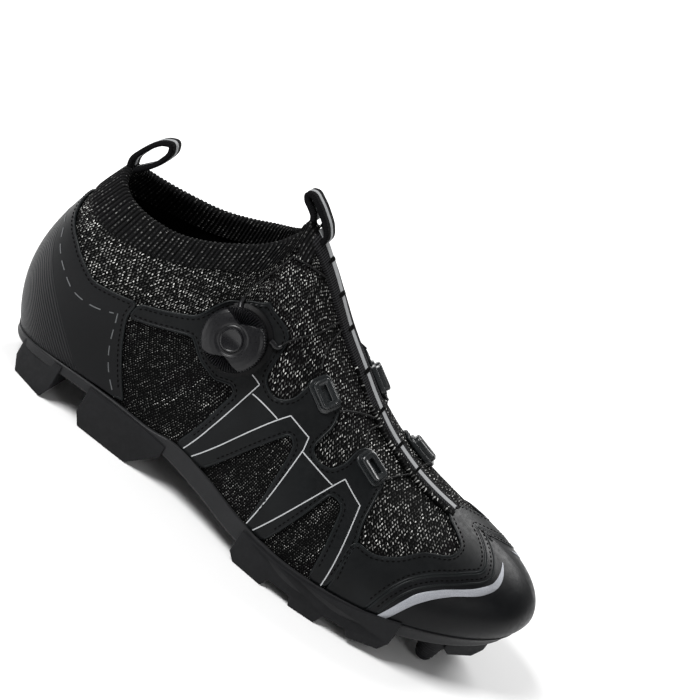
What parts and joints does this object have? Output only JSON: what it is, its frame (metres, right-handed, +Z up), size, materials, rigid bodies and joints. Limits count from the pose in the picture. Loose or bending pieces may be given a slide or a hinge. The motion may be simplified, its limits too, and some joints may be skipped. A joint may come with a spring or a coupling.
{
  "type": "cycling shoe",
  "caption": "Right knit cycling shoe for rough ground, with bonded overlays, a lace dial, pull loops, a stiff sole with rubber lugs and a cleat plate.",
  "frame": {"origin": "bottom centre of the shoe's box, on the floor that it stands on", "axes": "+X to the toe, +Y to the inner (medial) side, +Z up"},
  "size_m": [0.293, 0.1026, 0.1517],
  "materials": {
    "knit": "matte melange knit",
    "film": "satin charcoal film",
    "webbing": "ribbed webbing with a light stripe",
    "nylon": "satin moulded nylon",
    "foam": "matte fabric over foam",
    "steel": "satin",
    "plastic": "satin moulded plastic",
    "rubber": "matte tread rubber"
  },
  "bodies": {
    "root": {"cleat_plate": "steel", "dial_base": "plastic", "dial_cap": "plastic", "dial_knob": "plastic", "forefoot_rail_lateral": "rubber", "forefoot_rail_medial": "rubber", "heel_counter": "film", "heel_front_lug_lateral": "rubber", "heel_front_lug_medial": "rubber", "heel_pull_loop": "webbing", "heel_rear_lug_lateral": "rubber", "heel_rear_lug_medial": "rubber", "insole": "foam", "instep_pull_tab": "webbing", "lace_front_cross": "steel", "lace_guide_lateral_front": "plastic", "lace_guide_lateral_rear": "plastic", "lace_guide_medial_front": "plastic", "lace_guide_medial_rear": "plastic", "lace_rear_cross": "steel", "lace_toe": "steel", "lace_top": "steel", "lateral_overlay": "film", "medial_overlay": "film", "mudguard": "film", "outsole": "nylon", "throat_strip": "webbing", "toe_block_lateral": "rubber", "toe_block_medial": "rubber", "toe_cap": "film", "toe_stud_lateral": "rubber", "toe_stud_medial": "rubber", "upper": "knit"}
  },
  "joints": []
}
